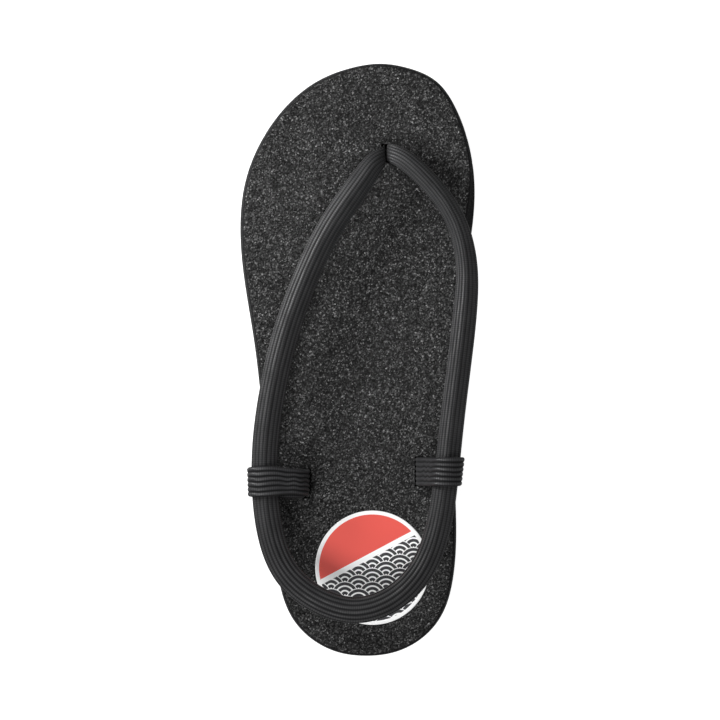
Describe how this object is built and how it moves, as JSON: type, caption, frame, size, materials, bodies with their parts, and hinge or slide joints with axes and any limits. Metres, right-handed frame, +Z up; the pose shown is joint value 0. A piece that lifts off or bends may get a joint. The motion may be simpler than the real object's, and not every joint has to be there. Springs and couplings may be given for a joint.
{
  "type": "waraji sandal",
  "caption": "Left waraji sandal: moulded foam sole, one ribbed elastic cord from a toe slit round the heel, held by tape keepers, with a round heel badge.",
  "frame": {"origin": "on the ground under the middle of the sole's length", "axes": "+Z up, +Y to the toe, +X to the big-toe side"},
  "size_m": [0.1043, 0.2599, 0.0459],
  "materials": {
    "foam": "matte EVA foam with pale flecks in its top",
    "cord": "ribbed woven polyester, soft sheen",
    "tape": "ribbed elastic webbing, matte",
    "badge": "printed film, glossy"
  },
  "bodies": {
    "root": {"sole": "foam", "strap": "cord", "keeper_lateral": "tape", "keeper_medial": "tape", "heel_badge": "badge"}
  },
  "joints": []
}
